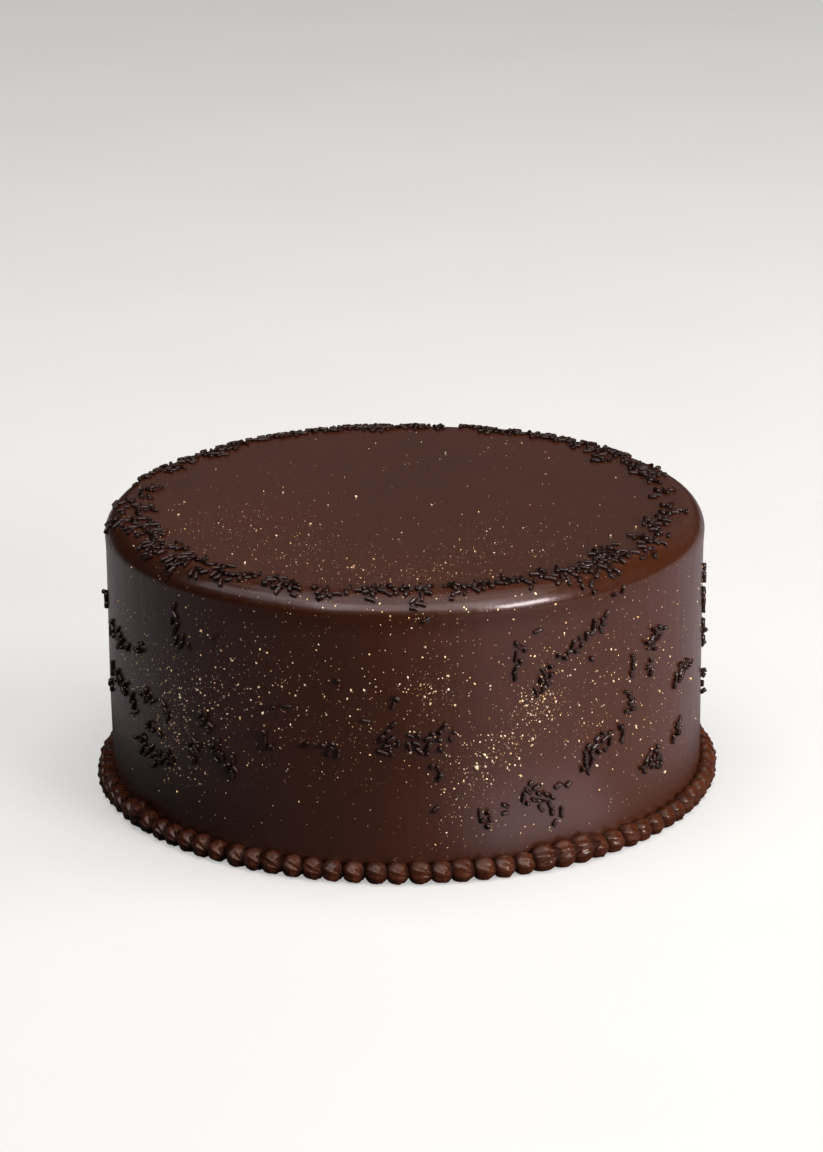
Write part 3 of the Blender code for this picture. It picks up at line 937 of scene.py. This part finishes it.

# %% [markdown]
# ## The glaze
# The glaze is dark chocolate with a satin gloss. It is milkier on the top. Just under the rounded
# edge it is a darker amber: partly the glaze running thin there, partly painted shade for the dark
# that the edge mirrors. Some of the gold lies flat in it, with no thickness to model: it is a mask
# of tiny cells that turns the shader to metal. The palette knife left upright strokes.

# %% What changes over the glaze
EDGE_DEPTHS = (1.9, 1.1)  # below the top, in edge radii
TOP_DEPTHS = (0.25, 0.02)
TOP_MILK, GRAIN_MILK = 0.55, 0.6
PATCH_SCALE, PATCHES = 14.0, (0.25, 0.50)
SPECK_SCALE, SPECK_SIZE = 1400.0, 0.34
SPECK_CLOUD_SCALE, SPECK_CLOUDS = 32.0, (0.40, 0.72)
SPECK_CHANCES = (0.999, 0.955)
STROKE_SCALE, STROKE_SQUEEZE = 170.0, 0.06


def rising(tree, z, depths):
    """From 0 to 1 as z rises through two depths, which are given in edge radii."""
    return between(tree, z, *(CAKE_HEIGHT - depth * EDGE_RADIUS for depth in depths))


def milkiness_and_edge_shade(tree, where, mask):
    """Milky by the mask and on the top, and a darker amber just under the edge, in patches: thin
    glaze and painted shade.
    """
    z = node(tree, "ShaderNodeSeparateXYZ", {0: where}).outputs["Z"]
    edge, top = rising(tree, z, EDGE_DEPTHS), rising(tree, z, TOP_DEPTHS)
    grain = maths(tree, "MULTIPLY", mask, GRAIN_MILK)
    milky = maths(tree, "MULTIPLY_ADD", top, TOP_MILK, grain, clamp=True)
    patches = between(tree, noise(tree, where, PATCH_SCALE), *PATCHES)
    return milky, product(tree, maths(tree, "SUBTRACT", edge, top, clamp=True), patches)


def gold_specks(tree, where):
    """1 on the finest gold and 0 elsewhere: the middles of a few tiny cells, and of more of them
    where a noise is high."""
    cells = node(tree, "ShaderNodeTexVoronoi", {"Vector": where, "Scale": SPECK_SCALE}).outputs
    chance = node(tree, "ShaderNodeSeparateColor", {0: cells["Color"]}).outputs[0]
    cloud = noise(tree, where, SPECK_CLOUD_SCALE, 3.0)
    few = between(tree, cloud, *SPECK_CLOUDS, *SPECK_CHANCES)
    middle = maths(tree, "LESS_THAN", cells["Distance"], SPECK_SIZE)
    return product(tree, maths(tree, "GREATER_THAN", chance, few), middle)


def knife_strokes(tree, where):
    """A noise whose coordinates are squeezed in height, so that it is drawn out upwards."""
    inputs = {"Vector": where, "Scale": (1.0, 1.0, STROKE_SQUEEZE)}
    squeezed = node(tree, "ShaderNodeMapping", inputs).outputs[0]
    return noise(tree, squeezed, STROKE_SCALE, 3.0)


print(f"a speck of gold is up to {2000 * SPECK_SIZE / SPECK_SCALE:.1f} mm across")

# %% The glaze's material
GLAZE_DARK = (0.0355, 0.0102, 0.0046, 1)
GLAZE_MILKY = (0.050, 0.0142, 0.0070, 1)
# the darker amber just under the edge: partly thin glaze, partly painted shade
GLAZE_THIN_AND_SHADED = (0.032, 0.0066, 0.0008, 1)
GLAZE_SHEEN = (1.0, 0.88, 0.90, 1)
GLAZE_GRAIN = 16.0
GLAZE_ROUGHNESS = (0.28, 0.33)
GOLD_COLOUR = (0.95, 0.67, 0.36, 1)


def glaze_material():
    material, tree, shader, where = material_named(
        "chocolate_glaze", IOR=1.46, Specular_Tint=GLAZE_SHEEN,
        Coat_Weight=0.45, Coat_Roughness=0.12,
    )
    mask = grouped(tree, mottle, Where=where, Scale=GLAZE_GRAIN)["Mask"]
    milky, thin_and_shaded = milkiness_and_edge_shade(tree, where, mask)
    speck = gold_specks(tree, where)
    colour = mixed(tree, milky, GLAZE_DARK, GLAZE_MILKY)
    # painted shade and thin glaze: a darker amber just under the edge
    colour = mixed(tree, thin_and_shaded, colour, GLAZE_THIN_AND_SHADED)
    ripples = grouped(tree, ripple, Where=where, Scale=22.0, Pits=0.02)["Height"]
    height = maths(tree, "ADD", ripples, knife_strokes(tree, where))
    fed(tree, shader, {
        "Base Color": mixed(tree, speck, colour, GOLD_COLOUR),
        "Metallic": speck,
        "Roughness": between(tree, mask, 0.0, 1.0, *GLAZE_ROUGHNESS),
        "Normal": bumped(tree, height, 0.35, 0.0008),
    })
    return material


glaze_skin.data.materials.append(glaze_material())
print("glaze on", glaze_skin.name)

# %% [markdown]
# ## The ganache, the sprinkles and the gold
# The ganache has more cream in it than the glaze, so it is a little lighter and redder, and it is
# glossy because it was piped warm. The sprinkles are almost black and polished. Both are the same
# recipe with other values, so one function serves both.

# %% Two solid chocolates
GANACHE_DARK = (0.034, 0.0083, 0.0032, 1)
GANACHE_MILKY = (0.069, 0.0182, 0.0075, 1)
# painted shade: this darker brown stands for the shade that falls between the beads
GANACHE_JOIN_SHADE = (0.0150, 0.0034, 0.0013, 1)
GANACHE_SHEEN = (1.0, 0.74, 0.62, 1)
JOIN_STARTS = 0.60
JOIN_ROUGHNESS = 0.6
WETNESS = 0.5
STICK_DARK = (0.0055, 0.0022, 0.0015, 1)
STICK_BROWN = (0.026, 0.0095, 0.0060, 1)
STICK_SHEEN = (1.0, 0.84, 0.79, 1)


def chocolate(name, dark, milky, grain, roughness, depth, join_shade=None, **settings):
    """A solid chocolate: two browns parted by the mottle, and the ripple as its bump. If join_shade
    is given, the mesh's join attribute leads to that colour, painted shade between the beads, and
    to a dull, dry surface."""
    material, tree, shader, where = material_named(name, IOR=1.47, **settings)
    mask = grouped(tree, mottle, Where=where, Scale=grain)["Mask"]
    colour = mixed(tree, mask, dark, milky)
    rough = between(tree, mask, 0.0, 1.0, *roughness)
    if join_shade:
        join = node(tree, "ShaderNodeAttribute", attribute_name="join").outputs["Fac"]
        join = between(tree, join, JOIN_STARTS, 1.0)
        # painted shade: the colour darkens towards the joins between the beads
        colour = mixed(tree, join, colour, join_shade)
        rough = maths(tree, "MAXIMUM", rough, maths(tree, "MULTIPLY", join, JOIN_ROUGHNESS))
        fed(tree, shader, {"Coat Weight": between(tree, join, 0.0, 1.0, WETNESS, 0.0)})
    height = grouped(tree, ripple, Where=where, Scale=grain * 2.5, Pits=0.25)["Height"]
    normal = bumped(tree, height, 0.5, depth)
    fed(tree, shader, {"Base Color": colour, "Roughness": rough, "Normal": normal})
    return material


piped_beads.data.materials.append(
    chocolate(
        "piped_ganache", GANACHE_DARK, GANACHE_MILKY, 160.0, (0.22, 0.32), 0.00045,
        join_shade=GANACHE_JOIN_SHADE, Coat_Roughness=0.10, Specular_IOR_Level=0.25,
        Specular_Tint=GANACHE_SHEEN,
    )
)
sprinkles.data.materials.append(
    chocolate(
        "sprinkle_chocolate", STICK_DARK, STICK_BROWN, 420.0, (0.13, 0.24), 0.00005,
        Specular_Tint=STICK_SHEEN, Coat_Weight=0.3, Coat_Roughness=0.10,
    )
)
print("chocolate on", piped_beads.name, "and", sprinkles.name)

# %% [markdown]
# Gold leaf is a metal, and each flake gets its own tint and polish from a noise that is coarse
# beside a flake. It is only partly metallic here, because a flake that mirrors a dark studio
# would otherwise turn black.

# %% Gold leaf
GOLD_DEEP = (1.0, 0.62, 0.25, 1)
GOLD_PALE = (1.0, 0.86, 0.66, 1)
GOLD_GRAIN = 700.0


def gold_material():
    material, tree, shader, where = material_named("gold_leaf", Metallic=0.4)
    tint = noise(tree, where, GOLD_GRAIN)
    fed(tree, shader, {
        "Base Color": mixed(tree, between(tree, tint, 0.35, 0.65), GOLD_DEEP, GOLD_PALE),
        "Roughness": between(tree, tint, 0.3, 0.7, 0.28, 0.5),
    })
    return material


gold_dust.data.materials.append(gold_material())
print("materials:", ", ".join(sorted(m.name for m in bpy.data.materials)))

# %% [markdown]
# ## Who stands for what
# The frame's two solids are hidden behind the finished pieces. All of them ride on the one body.

# %% Tie the pieces to the frame
for piece, finish in (
    (glaze_skin, "glaze"), (sprinkles, "glaze"), (gold_dust, "glaze"), (piped_beads, "ganache")
):
    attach(piece, "root")
for piece in (glaze_skin, sprinkles, gold_dust):
    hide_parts("glazed_cake")
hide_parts("piped_border")

# %% [markdown]
# ## The studio's floor
# Glaze shows what stands round it, so whoever lights a glossy cake places dark cards and pale
# panels as carefully as lamps. The floor here is pale to the camera, but what the cake mirrors is
# a black card round its foot, with bare floor past it on the right and a little on the left, and
# one soft patch of glare in front on the right. A Light Path node tells the two apart.

# %% What the cake mirrors in the floor
BARE_FLOOR = (0.24, 0.215, 0.23, 1)
BLACK_CARD = (0.03, 0.03, 0.03, 1)
CARD_NEAR_LEFT, CARD_NEAR_RIGHT = (0.115, 0.165), (0.105, 0.140)
CARD_LEFT, CARD_RIGHT = (-2.1, -0.3), (-0.1, 0.6)
BARE_LEFT = 0.85
GLARE_COLOUR = (0.75, 0.68, 0.72, 1)
GLARE_LEFT, GLARE_RIGHT = (0.12, 0.42), (0.75, 1.05)
GLARE_INNER, GLARE_OUTER = (0.112, 0.130), (0.150, 0.200)


def card_and_glare(tree, where):
    """How bare the floor is of its card, and how much it glares, by the azimuth in radians and
    the distance from the middle."""
    x, y, _ = node(tree, "ShaderNodeSeparateXYZ", {0: where}).outputs
    level = node(tree, "ShaderNodeCombineXYZ", {0: x, 1: y}).outputs[0]
    far = node(tree, "ShaderNodeVectorMath", {0: level}, operation="LENGTH").outputs["Value"]
    azimuth = maths(tree, "ARCTAN2", x, maths(tree, "MULTIPLY", y, -1.0))
    right = product(
        tree, between(tree, azimuth, *CARD_RIGHT), between(tree, far, *CARD_NEAR_RIGHT)
    )
    left = product(
        tree, between(tree, azimuth, *CARD_LEFT, BARE_LEFT, 0.0),
        between(tree, far, *CARD_NEAR_LEFT),
    )
    glare = product(
        tree, between(tree, azimuth, *GLARE_LEFT), between(tree, azimuth, *GLARE_RIGHT, 1.0, 0.0),
        between(tree, far, *GLARE_INNER), between(tree, far, *GLARE_OUTER, 1.0, 0.0),
    )
    return maths(tree, "MAXIMUM", right, left), glare


print(f"the glare starts {1000 * (GLARE_INNER[0] - CAKE_RADIUS):.0f} mm from the cake")

# %% The floor
FLOOR_REACH = 6.0
FLOOR_DROP = 0.0001
FLOOR_COLOUR = (0.38, 0.376, 0.370, 1)
FLOOR_DARKER = (0.3724, 0.36848, 0.3626, 1)
FLOOR_LIFT = 1.1


def floor_material():
    material, tree, shader, where = material_named(
        "pale_floor", Roughness=0.75, Emission_Strength=FLOOR_LIFT
    )
    patches = between(tree, noise(tree, where, 6.0, 4.0), 0.3, 0.7)
    pale = mixed(tree, patches, FLOOR_DARKER, FLOOR_COLOUR)
    bare, glare = card_and_glare(tree, where)
    ray = node(tree, "ShaderNodeLightPath").outputs
    glare = mixed(tree, product(tree, glare, ray["Is Glossy Ray"]), (0, 0, 0, 1), GLARE_COLOUR)
    mirrored = mixed(tree, bare, BLACK_CARD, BARE_FLOOR)
    fed(tree, shader, {
        "Base Color": mixed(tree, ray["Is Camera Ray"], mirrored, pale),
        "Emission Color": mixed(tree, ray["Is Camera Ray"], glare, pale),
    })
    return material


def floor():
    mesh = bpy.data.meshes.new("floor")
    r = FLOOR_REACH
    mesh.from_pydata([(-r, -r, 0), (r, -r, 0), (r, r, 0), (-r, r, 0)], [], [(0, 1, 2, 3)])
    made = bpy.data.objects.new("floor", mesh)
    bpy.context.scene.collection.objects.link(made)
    made.location.z = -FLOOR_DROP
    mesh.materials.append(floor_material())
    return made


print("stage:", floor().name)

# %% [markdown]
# ## The lights
# The lights share out two jobs. Some only light the cake up: the key on the right, the side and
# the overhead. Others are only mirrored: the glint draws the crisp line on the rounded edge, and
# the bands and the zenith the soft ones beside it. The ceiling and the backdrop do both. Blender
# can hide a light from diffuse or from glossy rays, which keeps the two jobs apart. The glint
# would blow out the whole top where the cake is seen from behind, so a flag keeps it on the near
# part of the cake: its strength falls with the length of the ray.

# %% The lights
FLAG_DISTANCES = (1.720, 1.775)
WARM = (1.0, 0.96, 0.94)

# name, azimuth, elevation, distance, width, height, power, colour, lights up, is mirrored
LIGHTS = (
    ("glint", 44.5, 24, 1.8, 0.60, 0.34, 17.5, WARM, False, True),
    ("key", 46, 15, 1.8, 0.9, 0.6, 35.0, WARM, True, False),
    ("band", 0, 43, 1.9, 2.2, 0.85, 14.5, (1.0, 0.96, 0.95), False, True),
    ("band left", -58, 43, 1.9, 2.0, 0.80, 6.2, (0.97, 0.96, 1.0), False, True),
    ("band right", 44, 44, 1.9, 1.0, 0.70, 2.6, (1.0, 0.95, 0.92), False, True),
    ("ceiling", 0, 72, 1.9, 3.0, 1.0, 11.0, WARM, True, True),
    ("zenith", 0, 97, 1.9, 2.3, 0.9, 4.4, WARM, False, True),
    ("backdrop", 162, 18, 2.2, 2.4, 0.8, 0.42, (1.0, 0.97, 0.95), True, True),
    ("side", 90, 22, 1.8, 1.0, 0.6, 26.0, WARM, True, False),
    ("overhead", 0, 90, 1.6, 1.2, 1.2, 22.0, (1.0, 0.97, 0.95), True, False),
)


def softbox(name, azimuth, elevation, distance, width, height, power, colour, lit, mirrored):
    """A rectangular light that looks at the middle of the cake."""
    data = bpy.data.lights.new(name, "AREA")
    data.shape = "RECTANGLE"
    data.size, data.size_y, data.energy, data.color = width, height, power, colour
    made = bpy.data.objects.new(name, data)
    made.visible_diffuse, made.visible_glossy = lit, mirrored
    bpy.context.scene.collection.objects.link(made)
    a, e = math.radians(azimuth), math.radians(elevation)
    back = Vector((math.sin(a) * math.cos(e), -math.cos(a) * math.cos(e), math.sin(e)))
    made.location = Vector((0, 0, CAKE_HEIGHT / 2)) + back * distance
    made.rotation_euler = (-back).to_track_quat("-Z", "Y").to_euler()
    return made


def flagged(light):
    """The light fades out between two distances, as if a flag kept it off what lies beyond."""
    light.data.use_nodes = True
    tree = light.data.node_tree
    far = node(tree, "ShaderNodeLightPath").outputs["Ray Length"]
    fed(tree, tree.nodes["Emission"], {"Strength": between(tree, far, *FLAG_DISTANCES, 1.0, 0.0)})


lights = {row[0]: softbox(*row) for row in LIGHTS}
flagged(lights["glint"])
print("lights:", ", ".join(lights))

# %% [markdown]
# The world is dim where it is mirrored, and pale where the camera looks past the floor.

# %% The world
PALE_WORLD = (0.50, 0.495, 0.485, 1)
DIM_WORLD = (0.013, 0.013, 0.014, 1)

world = bpy.data.worlds.new("studio")
world.use_nodes = True
seen = node(world.node_tree, "ShaderNodeLightPath").outputs["Is Camera Ray"]
colour = mixed(world.node_tree, seen, DIM_WORLD, PALE_WORLD)
fed(world.node_tree, world.node_tree.nodes["Background"], {"Color": colour})
bpy.context.scene.world = world
print("world:", world.name)

# %% [markdown]
# ## The camera
# The camera looks down at the cake with a long lens from 1.2 metres away, and it is tilted by
# about half a degree, as a hand-set tripod is. Blender measures the sensor along the picture's
# long side, so the lens follows from the focal length in picture heights.

# %% The camera
PICTURE_HEIGHT = 1152
FOCAL_PIXELS = 3500
SENSOR = 36.0
CAMERA_TARGET = Vector((0.0022, 0.0, 0.0691))
CAMERA_ELEVATION = math.radians(18.24)
CAMERA_DISTANCE = 1.198
CAMERA_ROLL = math.radians(-0.6)

camera = bpy.data.objects.new("camera", bpy.data.cameras.new("camera"))
bpy.context.scene.collection.objects.link(camera)
camera.data.sensor_width = SENSOR
camera.data.lens = SENSOR * FOCAL_PIXELS / PICTURE_HEIGHT
back = Vector((0, -math.cos(CAMERA_ELEVATION), math.sin(CAMERA_ELEVATION)))
level = Vector((1, 0, 0))
upright = back.cross(level)
right = level * math.cos(CAMERA_ROLL) + upright * math.sin(CAMERA_ROLL)
up = upright * math.cos(CAMERA_ROLL) - level * math.sin(CAMERA_ROLL)
place = Matrix((right, up, back)).transposed().to_4x4()
camera.matrix_world = Matrix.Translation(CAMERA_TARGET + back * CAMERA_DISTANCE) @ place
bpy.context.scene.camera = camera
bpy.context.scene.view_settings.view_transform = "Standard"
print(f"lens {camera.data.lens:.1f} mm")
